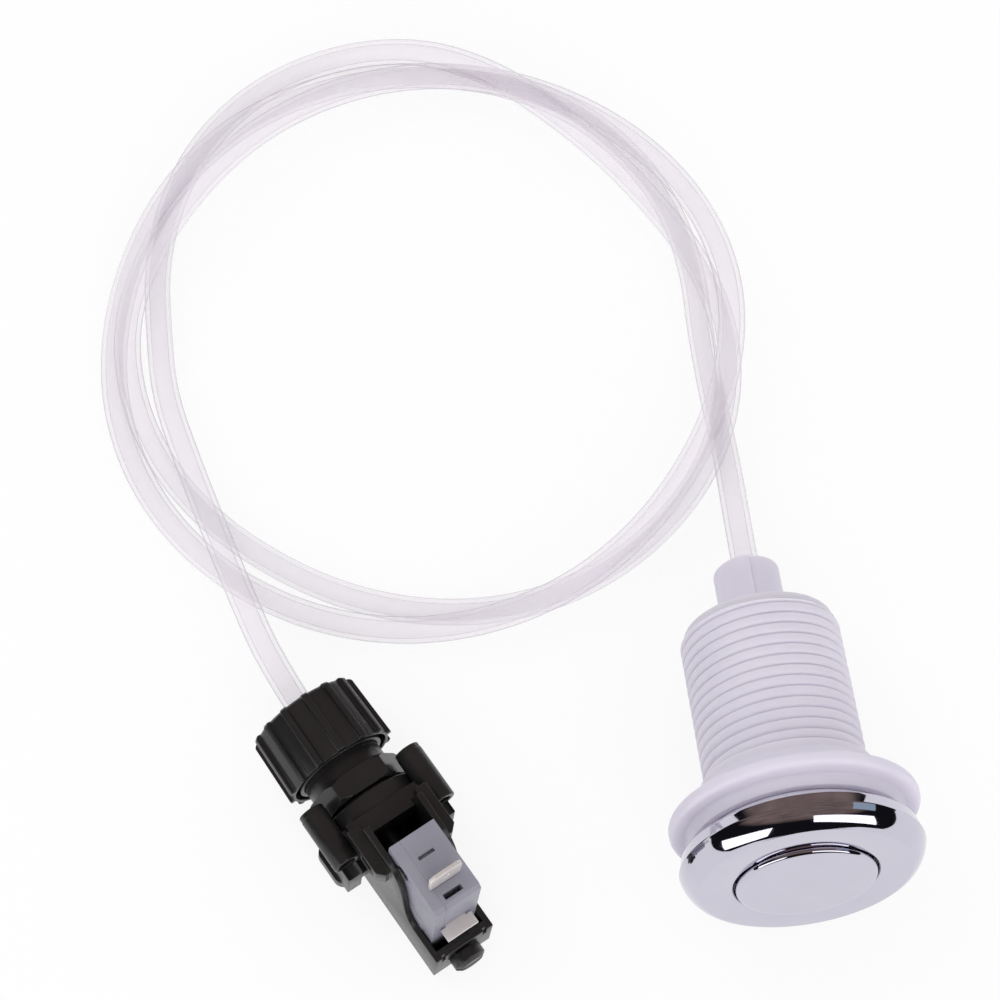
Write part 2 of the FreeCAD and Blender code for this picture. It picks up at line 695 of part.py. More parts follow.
def adjusting_knob():
    """The domed knob in the end wall; its screw bears on the switch."""
    low = switch_z + switch_len + seat_gap
    seat = bracket_end + 0.2
    head = turned([(0, seat), (knob_r, seat), (knob_r, seat + knob_len - 0.8),
                   (knob_r - 1.0, seat + knob_len - 0.1), (0, seat + knob_len)])
    slot = block((-knob_r, knob_r), (-0.4, 0.4), (seat + knob_len - 0.9, seat + knob_len + 1))
    stem = cylinder(screw_r, low, seat + fit_gap)
    knob = head.cut(slot).fuse(stem).removeSplitter()
    knob.translate(V(0, screw_y, 0))
    return knob


def bent_path(points):
    """A wire of straight runs joined by tangent arcs; each arc takes 0.45 of the shorter run beside it."""
    edges = []
    start = points[0]
    radii = []
    for before, corner, after in zip(points, points[1:], points[2:]):
        back = (before - corner).normalize()
        on = (after - corner).normalize()
        reach = 0.45 * min((before - corner).Length, (after - corner).Length)
        turn = math.pi - back.getAngle(on)
        radius = reach / math.tan(turn / 2)
        first, last = corner + back * reach, corner + on * reach
        middle_way = (back + on).normalize()
        centre = corner + middle_way * math.hypot(radius, reach)
        middle = centre - middle_way * radius
        edges.append(Part.LineSegment(start, first).toShape())
        edges.append(Part.Arc(first, middle, last).toShape())
        radii.append(radius)
        start = last
    edges.append(Part.LineSegment(start, points[-1]).toShape())
    return Part.Wire(edges), radii


def hose(points):
    """A length of clear tube along a bent path; prints its bend radii and compares its volume."""
    path, radii = bent_path(points)
    along = (points[1] - points[0]).normalize()
    rings = [Part.Wire(Part.makeCircle(r, points[0], along)) for r in (tube_r, tube_bore_r)]
    outer, inner = [path.makePipeShell([ring], True, True) for ring in rings]
    tube = outer.cut(inner)
    expected = math.pi * (tube_r ** 2 - tube_bore_r ** 2) * path.Length
    print("tube radii", [round(r, 1) for r in radii], "volume ratio", round(tube.Volume / expected, 4))
    return tube


def button_hose():
    """The tube from inside the button's collar down to the coil."""
    mouth = body_end - collar_len
    inside = mouth + collar_socket - hose_socket_gap
    points = [button_place.multVec(V(0, 0, inside)), button_place.multVec(V(0, 0, mouth - hose_straight)),
              V(*button_hose_end)]
    return hose(points)


def switch_hose():
    """The tube from the coil into the module's stem."""
    inside = stem_socket_end - hose_socket_gap
    points = [module_place.multVec(V(0, 0, inside)), module_place.multVec(V(0, 0, -switch_hose_straight)),
              V(*switch_hose_end)]
    return hose(points)


def tube_coil():
    """The outer shape of the loose coil: a flat ring two tubes high."""
    ring = cylinder(coil_outer_r, 0, coil_h).cut(cylinder(coil_inner_r, 0, coil_h))
    ring = ring.makeChamfer(coil_edge, [e for e in ring.Edges if e.Curve.TypeId == "Part::GeomCircle"])
    ring.translate(V(coil_x, coil_y, 0))
    return ring


BUTTON_PIECES = {
    "button_housing": button_housing,
    "bezel_trim": bezel_trim,
    "push_button": push_button,
    "sealing_gasket": sealing_gasket,
    "lock_nut": lock_nut,
    "rear_cap": rear_cap,
    "bellows": bellows,
    "return_spring": return_spring,
}
MODULE_PIECES = {
    "fluted_nut": fluted_nut,
    "ferrule": ferrule,
    "inlet_housing": inlet_housing,
    "diaphragm": diaphragm,
    "pusher": pusher,
    "switch_bracket": switch_bracket,
    "switch_case": switch_case,
    "switch_cover": switch_cover,
    "switch_plunger": switch_plunger,
    "contact_blade": contact_blade,
    "common_terminal": common_terminal,
    "output_terminal": output_terminal,
    "adjusting_knob": adjusting_knob,
}
TUBE_PIECES = {
    "button_hose": button_hose,
    "tube_coil": tube_coil,
    "switch_hose": switch_hose,
}

os.makedirs("parts", exist_ok=True)
body_box = FreeCAD.BoundBox()
for pieces, place in ((BUTTON_PIECES, button_place), (MODULE_PIECES, module_place),
                      (TUBE_PIECES, FreeCAD.Placement())):
    for name, make in pieces.items():
        shape = make()
        shape.Placement = place.multiply(shape.Placement)
        if len(shape.Solids) != 1 or not shape.isValid():
            print("CHECK", name, len(shape.Solids), "solids, valid", shape.isValid())
        shape.exportStep("parts/" + name + ".step")
        if pieces is not TUBE_PIECES:
            body_box.add(shape.BoundBox)

print("button tilt", round(math.degrees(button_tilt), 2), "module pitch", round(math.degrees(module_pitch), 2))
print("button origin", button_origin, "axis", button_axis)
print("module origin", module_origin, "axis", module_axis)
print("box without the tube", body_box)
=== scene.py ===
# %% [markdown]
# # Spa air switch
# A push button for the rim of a hot tub. Pressing it squeezes a rubber bellows, and the puff of air runs through
# a clear tube to a small black module, where it works a snap switch. No electricity comes near the water.
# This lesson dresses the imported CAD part: every piece is modelled on the frame, in metres, where the CAD has it.

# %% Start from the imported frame
import json
import math
import bpy
from mathutils import Matrix, Vector


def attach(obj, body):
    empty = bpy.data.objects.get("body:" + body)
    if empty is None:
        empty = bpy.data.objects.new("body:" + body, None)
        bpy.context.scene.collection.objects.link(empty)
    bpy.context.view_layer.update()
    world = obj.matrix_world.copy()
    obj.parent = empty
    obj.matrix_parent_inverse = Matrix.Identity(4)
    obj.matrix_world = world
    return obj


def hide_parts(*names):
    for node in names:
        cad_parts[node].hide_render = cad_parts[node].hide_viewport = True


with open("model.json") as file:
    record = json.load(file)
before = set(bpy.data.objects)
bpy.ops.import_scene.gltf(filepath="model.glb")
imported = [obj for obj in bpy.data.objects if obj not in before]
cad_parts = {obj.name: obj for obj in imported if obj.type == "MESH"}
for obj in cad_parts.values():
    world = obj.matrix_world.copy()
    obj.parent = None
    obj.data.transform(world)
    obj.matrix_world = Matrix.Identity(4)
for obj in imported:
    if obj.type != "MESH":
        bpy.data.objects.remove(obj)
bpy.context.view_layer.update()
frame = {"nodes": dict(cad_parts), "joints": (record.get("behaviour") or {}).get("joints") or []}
MM = 0.001


def let_go():
    """Leaves edit mode and selects nothing."""
    if bpy.context.mode != "OBJECT":
        bpy.ops.object.mode_set(mode="OBJECT")
    bpy.ops.object.select_all(action="DESELECT")


let_go()

# %% [markdown]
# ## Camera
# The photograph looks down on the table at 68 degrees with a long lens. The camera is a real one at that angle,
# so what stands up, such as the round button, is seen from the same side as in the photograph.

# %% Camera
LOOK_AT = Vector((-16.18, 59.87, 0.0)) * MM
ELEVATION = math.radians(68.22)
DISTANCE = 574.3 * MM
eye = LOOK_AT + Vector((0, -math.cos(ELEVATION), math.sin(ELEVATION))) * DISTANCE
bpy.ops.object.camera_add(location=eye, rotation=(math.pi / 2 - ELEVATION, 0, 0))
camera = bpy.context.object
camera.data.lens = 98.6
camera.data.sensor_width = 36
bpy.context.scene.camera = camera
print("camera", tuple(round(v, 3) for v in camera.location))

# %% [markdown]
# ## Two small tools for finishes
# A finish is a tree of nodes, but sums and products read better as Python. Shade wraps a socket, and each
# operator adds one Math node. Finish adds every other node, with its settings first and its sockets after.

# %% Shade and Finish
class Shade:
    """A number that varies over a surface, kept as an output socket."""

    def __init__(self, finish, socket):
        self.finish, self.socket = finish, socket

    def _math(self, operation, *values):
        return self.finish.add("ShaderNodeMath", {"operation": operation}, dict(enumerate(values)))

    def __add__(self, other):
        return self._math("ADD", self, other)

    def __sub__(self, other):
        return self._math("SUBTRACT", self, other)

    def __rsub__(self, other):
        return self._math("SUBTRACT", other, self)

    def __mul__(self, other):
        return self._math("MULTIPLY", self, other)

    def __pow__(self, other):
        return self._math("POWER", self, other)

    def larger(self, other):
        return self._math("MAXIMUM", self, other)

    def smaller(self, other):
        return self._math("MINIMUM", self, other)

    __radd__ = __add__
    __rmul__ = __mul__


class Finish:
    """A procedural material for one kind of surface."""

    def __init__(self, name, tree=None):
        self.material = None
        if tree is None:
            self.material = bpy.data.materials.new(name)
            self.material.use_nodes = True
            tree = self.material.node_tree
        self.tree = tree
        self.tree.nodes.clear()

    def add(self, kind, settings=None, sockets=None, out=0):
        """Adds one node: settings first, then values or links into its sockets; returns its output."""
        node = self.tree.nodes.new(kind)
        for key, value in (settings or {}).items():
            setattr(node, key, value)
        for key, value in (sockets or {}).items():
            if isinstance(value, Shade):
                self.tree.links.new(value.socket, node.inputs[key])
            else:
                node.inputs[key].default_value = value
        return Shade(self, node.outputs[out]) if node.outputs else None

    def spot(self):
        """The place on the surface, in the object's own coordinates."""
        return self.add("ShaderNodeTexCoord", out=3)

    def grain(self, size_mm, detail=2.0, stretch=(1, 1, 1)):
        """Noise whose patches are about size_mm across."""
        moved = self.add("ShaderNodeMapping", sockets={"Vector": self.spot(), "Scale": stretch})
        return self.add("ShaderNodeTexNoise",
                        sockets={"Vector": moved, "Scale": 1 / (size_mm * MM), "Detail": detail})

    def blend(self, share, first, second):
        """A colour between two others; the Mix node takes its colours at sockets 6 and 7."""
        ends = {6: first if isinstance(first, Shade) else (*first, 1),
                7: second if isinstance(second, Shade) else (*second, 1)}
        return self.add("ShaderNodeMix", {"data_type": "RGBA", "clamp_factor": True},
                        {0: share, **ends}, out=2)

    def bump(self, height, depth_mm):
        """A normal that follows a height of up to depth_mm."""
        return self.add("ShaderNodeBump", sockets={"Height": height, "Distance": depth_mm * MM})

    def glow(self, colour, strength=1.0):
        """Ends the tree in a surface that shines by itself."""
        shine = self.add("ShaderNodeEmission", sockets={"Color": colour, "Strength": strength})
        self.add("ShaderNodeOutputMaterial", sockets={"Surface": shine})
        return self.material

    def surface(self, **sockets):
        """Ends the tree in a Principled shader; underscores in the names stand for spaces."""
        named = {key.replace("_", " "): value for key, value in sockets.items()}
        shader = self.add("ShaderNodeBsdfPrincipled", sockets=named)
        self.add("ShaderNodeOutputMaterial", sockets={"Surface": shader})
        return self.material


# %% [markdown]
# ## Studio
# The object lies on a white sheet. The camera sees the sheet almost white, and the sheet keeps a faint shadow.
# Light comes evenly from the sky and softly from two large lamps. Chrome shows only what stands around it, so
# a dark room with three bright panes stands round the object. Nothing but reflections can see that room.

# %% Floor and sky
def only_reflected(card):
    """Hides a card from everything but reflections."""
    card.visible_camera = card.visible_diffuse = card.visible_shadow = False
    card.visible_transmission = card.visible_volume_scatter = False


CAMERA_RAY, GLOSSY_RAY, TRANSMISSION_RAY = 0, 3, 6  # outputs of the Light Path node
SHEET_GLOW = 0.86  # the share of plain white in the sheet, as those rays see it
SKY_STRENGTH, SKY_SEEN_EXTRA = 0.80, 0.2  # on the object, and what the camera sees beyond that

let_go()
bpy.ops.mesh.primitive_plane_add(size=6.0, location=(0, 0.4, -0.0001))
floor = bpy.context.object
floor.name = "white_sheet"
sheet = Finish("white_sheet")
seen = (sheet.add("ShaderNodeLightPath", out=CAMERA_RAY) + sheet.add("ShaderNodeLightPath", out=GLOSSY_RAY)
        + sheet.add("ShaderNodeLightPath", out=TRANSMISSION_RAY))
lit = sheet.add("ShaderNodeBsdfDiffuse", sockets={"Color": (0.93, 0.925, 0.95, 1)})
plain = sheet.add("ShaderNodeEmission", sockets={"Color": (1, 1, 1, 1), "Strength": 1.0})
mixed = sheet.add("ShaderNodeMixShader", sockets={0: seen * SHEET_GLOW, 1: lit, 2: plain})
sheet.add("ShaderNodeOutputMaterial", sockets={"Surface": mixed})
floor.data.materials.append(sheet.material)

sky = bpy.data.worlds.new("plain_sky")
bpy.context.scene.world = sky
sky.use_nodes = True
air = Finish("plain_sky", sky.node_tree)
direct = air.add("ShaderNodeLightPath", out=CAMERA_RAY)
daylight = air.add("ShaderNodeBackground", sockets={"Color": (1.0, 0.985, 1.0, 1),
                                                    "Strength": direct * SKY_SEEN_EXTRA + SKY_STRENGTH})
air.add("ShaderNodeOutputWorld", sockets={"Surface": daylight})
bpy.context.scene.view_settings.view_transform = "Standard"

# %% Lamps
def lamp(name, place, size, power):
    """A square lamp that faces the object and isn't itself reflected."""
    toward = LOOK_AT - Vector(place)
    bpy.ops.object.light_add(type="AREA", location=place,
                             rotation=toward.to_track_quat("-Z", "Y").to_euler())
    light = bpy.context.object
    light.name, light.data.size, light.data.energy = name, size, power
    light.visible_glossy = False


lamp("upper_left_lamp", (-0.8, 0.5, 1.2), 0.9, 3.5)
lamp("front_lamp", (0.3, -1.1, 0.8), 0.8, 5.5)

# %% The dark room that the chrome reflects
ROOM_RADIUS = 4.5
CEILING_HEIGHT = 2.2  # where the brown ceiling starts
CEILING_SLOPE = 0.55  # how much lower it starts for each metre further back
CEILING_FADE = 1.6  # how quickly it takes over from the black wall

let_go()
bpy.ops.mesh.primitive_uv_sphere_add(segments=48, ring_count=24, radius=ROOM_RADIUS, location=(0, 0, 0))
room = bpy.context.object
room.name = "dark_room"
bpy.ops.object.mode_set(mode="EDIT")
bpy.ops.mesh.select_all(action="SELECT")
bpy.ops.mesh.bisect(plane_co=(0, 0, 0.01), plane_no=(0, 0, 1), clear_inner=True)
bpy.ops.object.mode_set(mode="OBJECT")
dusk = Finish("dark_room")
height = dusk.add("ShaderNodeSeparateXYZ", sockets={"Vector": dusk.spot()}, out=2)
toward_back = dusk.add("ShaderNodeSeparateXYZ", sockets={"Vector": dusk.spot()}, out=1)
beams = dusk.grain(1400.0, 4.0, stretch=(1, 3, 1))
ceiling_tone = dusk.blend(beams * 2.2 - 0.6, (0.13, 0.096, 0.082), (0.26, 0.195, 0.172))
is_ceiling = (height + toward_back * CEILING_SLOPE - CEILING_HEIGHT) * CEILING_FADE
is_ceiling = is_ceiling.larger(0.0).smaller(1.0)
room.data.materials.append(dusk.glow(dusk.blend(is_ceiling, (0.008, 0.008, 0.010), ceiling_tone)))
only_reflected(room)


# %% Windows in the room
RING = Vector((41.0, -29.0, 32.0)) * MM
WINDOW_REACH = 3.6


def window(name, corners, colour, strength):
    """A bright pane; each corner lies in a direction (azimuth from the front, elevation) from the ring."""
    let_go()
    bpy.ops.mesh.primitive_plane_add(size=1.0)
    pane = bpy.context.object
    pane.name = name
    for corner, (azimuth, elevation) in zip((0, 1, 3, 2), corners):
        a, e = math.radians(azimuth), math.radians(elevation)
        pane.data.vertices[corner].co = RING + WINDOW_REACH * Vector(
            (math.sin(a) * math.cos(e), -math.cos(a) * math.cos(e), math.sin(e)))
    pane.data.materials.append(Finish(name).glow((*colour, 1), strength))
    only_reflected(pane)


window("left_window", ((-66, 11), (-41, 2), (-14, 20), (-25, 43)), (1, 1, 1), 2.1)
window("right_window", ((76, 23), (57, 10), (18, 45), (27, 65)), (1, 1, 1), 2.1)
window("side_window", ((90, 46), (92, 24), (112, 20), (114, 42)), (0.36, 0.46, 0.54), 1.0)
print("studio ready")

# %% [markdown]
# ## Where the button and the module lie
# Each of them is built upright around its own axis and then laid down, exactly as the CAD lays it. The axes come
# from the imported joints, and the two origins are the ones that the part was placed with.

# %% Placing matrices
def laid_down(origin_mm, axis, roll=0.0):
    """A matrix that lays local z along axis, with local y upwards and leaning by roll about the axis."""
    axis = Vector(axis).normalized()
    right = Vector((0, 0, 1)).cross(axis).normalized()
    up = axis.cross(right).normalized()
    leaning = up * math.cos(roll) + right * math.sin(roll)
    turned = Matrix((leaning.cross(axis), leaning, axis)).transposed().to_4x4()
    return Matrix.Translation(Vector(origin_mm) * MM) @ turned


BUTTON_ORIGIN = (40.906056, -21.300430, 25.186852)
MODULE_ORIGIN = (-55.44, 9.51, 12.359298)
MODULE_ROLL = math.radians(4.5)
joints = {joint["name"]: joint for joint in frame["joints"]}
button_place = laid_down(BUTTON_ORIGIN, -Vector(joints["button_press"]["axis"]))
module_place = laid_down(MODULE_ORIGIN, joints["pusher_slide"]["axis"], MODULE_ROLL)
for label, place in (("button", button_place), ("module", module_place)):
    print(label, "axis", [round(v, 4) for v in place.col[2]])

# %% [markdown]
# ## Air tube
# The real tube is one length of clear, springy hose: it leaves the button's collar, lies in nearly three loose
# turns that cross each other, and ends in the module's nut. A curve is the right thing for it, because a curve
# keeps its length. The turns are stations of angle, radius and height, chosen from the strands of the
# photograph, and a loop sets a point every 15 degrees between them.

# %% Stations of the loose turns
COIL_CENTRE = (-33.1, 96.35)
TUBE_R = 2.8
STEP = 15
stations = {
    345: (64.0, 2.8), 360: (59.3, 2.8), 390: (61.8, 2.8), 420: (64.1, 2.8), 450: (64.0, 2.8), 480: (63.8, 4.8),
    510: (62.8, 8.4), 540: (65.2, 2.8), 570: (66.8, 2.9), 600: (67.3, 3.8), 630: (67.0, 4.9), 660: (66.7, 9.6),
    690: (65.2, 13.6), 720: (65.6, 14.2), 750: (65.3, 8.8), 780: (62.2, 8.6), 810: (60.5, 8.4), 840: (58.0, 10.0),
    870: (56.8, 12.9), 900: (62.0, 8.6), 930: (61.4, 4.8), 960: (59.5, 2.9), 990: (62.0, 2.8), 1020: (65.8, 3.4),
    1050: (68.0, 8.4), 1080: (64.3, 8.4), 1110: (57.2, 9.0), 1140: (55.6, 14.4), 1170: (64.8, 11.5),
    1200: (70.2, 3.0), 1230: (63.1, 2.8), 1260: (55.3, 4.4), 1290: (56.2, 8.6)}


def eased(before, here, there, beyond, share):
    """A value between here and there that leaves and arrives smoothly."""
    slope = there - before
    bend = 2 * before - 5 * here + 4 * there - beyond
    twist = 3 * here - before - 3 * there + beyond
    return 0.5 * (2 * here + slope * share + bend * share ** 2 + twist * share ** 3)


def coil_points():
    """One point every 15 degrees, a little outside the circle, so that the curve touches the radius."""
    angles = sorted(stations)
    points = []
    for i, angle in enumerate(angles):
        near = [stations[angles[min(max(i + k, 0), len(angles) - 1)]] for k in (-1, 0, 1, 2)]
        ahead = angles[i + 1] - angle if i + 1 < len(angles) else STEP
        for k in range(ahead // STEP):
            radius, height = [eased(*[v[axis] for v in near], k * STEP / ahead) for axis in (0, 1)]
            radius /= math.cos(math.radians(STEP / 2))
            turn = math.radians(angle + k * STEP)
            points.append(Vector((COIL_CENTRE[0] + radius * math.cos(turn),
                                  COIL_CENTRE[1] + radius * math.sin(turn), max(height, TUBE_R))) * MM)
    return points


# %% The tube as one curve
# Out of the collar and into the nut the tube follows the part's own route points, in mm.
collar_run = [(35.020, 28.432, 15.024), (32.923, 46.144, 11.404), (31.3, 66.75, 4.6)]
nut_run = [(-69.7, 37.05, 10.4), (-60.627, 16.863, 12.530), (-47.487, -1.765, 12.098)]
route = [Vector(p) * MM for p in collar_run] + coil_points() + [Vector(p) * MM for p in nut_run]
let_go()
bpy.ops.curve.primitive_nurbs_path_add(enter_editmode=False)
air_tube = bpy.context.object
air_tube.name = "air_tube"
air_tube.data.splines.clear()
run = air_tube.data.splines.new("NURBS")
run.points.add(len(route) - 1)
for point, place in zip(run.points, route):
    point.co = (*place, 1)
    point.radius = MM  # the box round a curve grows by this radius, so it stays small and the bevel is large
run.order_u = 3
run.use_endpoint_u = True
run.resolution_u = 6
air_tube.location = (0, 0, 0)
air_tube.data.dimensions = "3D"
air_tube.data.bevel_depth = TUBE_R
air_tube.data.bevel_resolution = 5
air_tube.data.use_fill_caps = False
run.use_smooth = True
wall = air_tube.modifiers.new("tube_wall", "SOLIDIFY")
wall.thickness = 1.0 * MM
wall.offset = -1
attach(air_tube, "base")
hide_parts("button_hose", "tube_coil", "switch_hose")
print("tube points", len(route))

# %% [markdown]
# ## Tools for turned and softened pieces
# Most of the button is round, so it is drawn as a line and spun, like a profile on a lathe. The module is
# moulded in boxes and bosses, so there a copy of the CAD mesh is cleaned and its edges are rounded, as a mould
# rounds them.

# %% Lathe
def drawn_line(name, points):
    """A line through (radius, height) points in mm: a single corner is extruded from one to the next."""
    let_go()
    bpy.ops.mesh.primitive_plane_add(size=MM)
    piece = bpy.context.object
    piece.name = name
    bpy.ops.object.mode_set(mode="EDIT")
    bpy.ops.mesh.select_mode(type="VERT")
    bpy.ops.mesh.select_all(action="SELECT")
    bpy.ops.mesh.merge(type="CENTER")
    bpy.ops.transform.translate(value=(points[0][0] * MM, 0, points[0][1] * MM))
    for (r0, z0), (r1, z1) in zip(points, points[1:]):
        step = ((r1 - r0) * MM, 0, (z1 - z0) * MM)
        bpy.ops.mesh.extrude_region_move(TRANSFORM_OT_translate={"value": step})
    return piece


def spun(name, points, steps=128):
    """A round piece: the drawn line is spun once about z and its seam is closed."""
    piece = drawn_line(name, points)
    bpy.ops.mesh.select_all(action="SELECT")
    bpy.ops.mesh.spin(steps=steps, angle=math.tau, center=(0, 0, 0), axis=(0, 0, 1))
    bpy.ops.mesh.select_all(action="SELECT")
    bpy.ops.mesh.remove_doubles(threshold=0.002 * MM)
    bpy.ops.mesh.normals_make_consistent(inside=False)
    bpy.ops.object.mode_set(mode="OBJECT")
    return piece


def rounded(centre, radius, start, end, steps=5):
    """Points of an arc in the drawn plane, from one angle in degrees to another."""
    span = [math.radians(start + (end - start) * i / steps) for i in range(steps + 1)]
    return [(centre[0] + radius * math.cos(a), centre[1] + radius * math.sin(a)) for a in span]


# %% Laying down, rounding and finishing
def lay(piece, place):
    """Puts a piece's place into its mesh, so that its object stays at the origin."""
    let_go()
    piece.select_set(True)
    bpy.context.view_layer.objects.active = piece
    piece.matrix_world = place
    bpy.ops.object.transform_apply(location=True, rotation=True, scale=True)


def round_edges(piece, width_mm, segments=3, angle=32):
    """Rounds every edge sharper than the angle, and applies the bevel."""
    let_go()
    piece.select_set(True)
    bpy.context.view_layer.objects.active = piece
    bevel = piece.modifiers.new("rounding", "BEVEL")
    bevel.width, bevel.segments = width_mm * MM, segments
    bevel.limit_method, bevel.angle_limit = "ANGLE", math.radians(angle)
    bevel.use_clamp_overlap = False
    bevel.harden_normals = False
    bpy.ops.object.modifier_apply(modifier=bevel.name)
    bpy.ops.object.shade_smooth_by_angle(angle=math.radians(35))


def from_cad(name, node):
    """A merged copy of a CAD node's mesh, with its flat faces joined up again."""
    let_go()
    piece = bpy.data.objects.new(name, frame["nodes"][node].data.copy())
    bpy.context.scene.collection.objects.link(piece)
    piece.data.materials.clear()
    piece.select_set(True)
    bpy.context.view_layer.objects.active = piece
    bpy.ops.object.mode_set(mode="EDIT")
    bpy.ops.mesh.select_all(action="SELECT")
    bpy.ops.mesh.remove_doubles(threshold=0.003 * MM)
    bpy.ops.mesh.dissolve_limited(angle_limit=math.radians(1.5))
    bpy.ops.object.mode_set(mode="OBJECT")
    return piece


def dress(piece, body, nodes, material):
    """Gives a finished piece its body, the CAD nodes that it stands for and its material."""
    piece.data.materials.clear()
    piece.data.materials.append(material)
    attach(piece, body)
    if nodes:
        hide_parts(*nodes)
    print(piece.name, "faces", len(piece.data.polygons))


# %% [markdown]
# ## Finishes
# Seven finishes are seen, and the hidden pieces add black rubber and spring steel. Each is built from noise at
# the size that the real one has: the slow mottling of moulded plastic, the fine uneven peel of its skin, and
# the drawn or tinned look of the metal.

# %% White plastic
MOTTLE_MM, SPECK_MM = 9.0, 0.9


def moulded(name, light, dark, rough, peel_mm, peel_depth, shine=1.5, milky=0.0):
    """Moulded plastic: slow mottling of its colour and a fine uneven skin."""
    skin = Finish(name)
    mottle = skin.grain(MOTTLE_MM, 3.0)
    speck = skin.grain(SPECK_MM, 2.0)
    peel = skin.grain(peel_mm, 3.0)
    tone = skin.blend(mottle * 1.6 - 0.3, dark, light)
    return skin.surface(Base_Color=tone, Roughness=speck * 0.12 + (rough - 0.06),
                        Normal=skin.bump(peel, peel_depth), IOR=shine, Subsurface_Weight=milky,
                        Subsurface_Radius=(1.0, 0.9, 1.0), Subsurface_Scale=2.2 * MM)


white_plastic = moulded("white_plastic", (0.735, 0.705, 0.795), (0.69, 0.66, 0.755), 0.42, 0.35, 0.012,
                       milky=0.45)
white_rubber = moulded("white_rubber", (0.75, 0.74, 0.82), (0.70, 0.69, 0.78), 0.6, 0.3, 0.015)
black_plastic = moulded("black_plastic", (0.016, 0.0150, 0.0155), (0.008, 0.0078, 0.0085), 0.34, 0.45, 0.02,
                        shine=1.57)
grey_plastic = moulded("grey_plastic", (0.285, 0.285, 0.335), (0.235, 0.235, 0.285), 0.46, 0.3, 0.012)
black_rubber = moulded("black_rubber", (0.04, 0.04, 0.04), (0.02, 0.02, 0.02), 0.6, 0.3, 0.015)

# %% Metals
def metal(name, light, dark, rough, grain_mm, stretch=(1, 1, 1), depth=0.002, plated=1.0):
    """Polished or plated metal with faint drawn marks."""
    plate = Finish(name)
    marks = plate.grain(grain_mm, 3.0, stretch=stretch)
    cloud = plate.grain(6.0, 2.0)
    return plate.surface(Base_Color=plate.blend(cloud, dark, light), Metallic=plated,
                         Roughness=(marks - 0.5) * 0.08 + rough, Normal=plate.bump(marks, depth))


chrome = metal("chrome", (0.60, 0.585, 0.67), (0.565, 0.55, 0.635), 0.05, 3.0, depth=0.0006)
tinned_brass = metal("tinned_brass", (0.86, 0.83, 0.82), (0.62, 0.57, 0.55), 0.42, 0.7, (1, 1, 3), 0.03,
                     plated=0.45)
spring_steel = metal("spring_steel", (0.6, 0.6, 0.62), (0.5, 0.5, 0.52), 0.3, 0.4)

# %% Clear tube
EDGE_STARTS = 0.52  # how far the wall turns away before its edge begins to show

clear = Finish("clear_tube")
facing = clear.add("ShaderNodeLayerWeight", sockets={"Blend": 0.5}, out=1)
haze = clear.grain(14.0, 2.0)
edge_on = ((facing - EDGE_STARTS) * 2.6).larger(0.0).smaller(1.0) ** 1.5
body_tone = clear.blend(haze, (0.93, 0.86, 0.91), (0.90, 0.87, 0.94))
tube_tone = clear.blend(edge_on, body_tone, (0.60, 0.55, 0.61))
clear_tube = clear.surface(Base_Color=tube_tone, Roughness=haze * 0.08 + 0.14, IOR=1.4,
                           Alpha=haze * 0.05 + edge_on * 0.55 + 0.19)
air_tube.data.materials.append(clear_tube)

# %% [markdown]
# ## Dress ring
# The ring is chrome-plated plastic: a flat face, a wide rounded shoulder that catches the whole room, and a
# small lip around the button. A spun profile gives the shoulder an even curve, which a reflection shows at once.

# %% Dress ring
ring_profile = ([(14.1, 3.7), (14.1, 6.6)] + rounded((14.35, 6.6), 0.3, 180, 92, 4)
                + [(20.4, 6.9)] + rounded((20.45, 6.2), 0.7, 86, 55, 6)
                + rounded((17.45, 1.62), 6.3, 52, 12, 14) + rounded((22.93, 2.72), 0.75, 6, -18, 4)
                + [(23.10, 0.7)] + rounded((22.75, 0.42), 0.3, -10, -90, 3)
                + [(21.4, 0.12), (21.4, 3.7), (14.1, 3.7)])
dress_ring = spun("dress_ring", ring_profile, 192)
lay(dress_ring, button_place)
round_edges(dress_ring, 0.08, 2, 50)
dress(dress_ring, "base", ["bezel_trim"], chrome)

# %% [markdown]
# ## Push button
# A thin chromed cap with a sleeve. Its face is almost flat, with a soft edge that shows as a thin bright ring.
# The sleeve, stop ring and boss inside are kept, because the gap around the button lets a little of them show.

# %% Push button
cap_profile = ([(0, 7.96), (7.0, 7.94), (12.5, 7.9)] + rounded((12.75, 7.05), 0.85, 88, 0, 8)
               + [(13.6, 1.1), (14.3, 1.1), (14.3, -0.5), (13.6, -0.5), (13.6, -8.0), (12.0, -8.0), (12.0, 6.4),
                  (4.0, 6.4), (4.0, -8.0), (0, -8.0)])
push_cap = spun("push_cap", cap_profile, 160)
lay(push_cap, button_place)
round_edges(push_cap, 0.06, 2, 50)
dress(push_cap, "button", ["push_button"], chrome)

# %% [markdown]
# ## Gasket and lock nut
# A pale gasket sits against the panel, and behind it comes the nut with its stepped front, rounded rim and a hub
# that flares out. Both are spun.

# %% Gasket and lock nut
gasket_profile = ([(16.05, -0.02), (19.0, -0.02)] + rounded((19.05, -0.25), 0.25, 90, 0, 3)
                  + rounded((19.05, -2.13), 0.25, 0, -90, 3) + [(16.05, -2.38), (16.05, -0.02)])
panel_gasket = spun("panel_gasket", gasket_profile, 128)
lay(panel_gasket, button_place)
round_edges(panel_gasket, 0.05, 2, 50)
dress(panel_gasket, "base", ["sealing_gasket"], white_rubber)

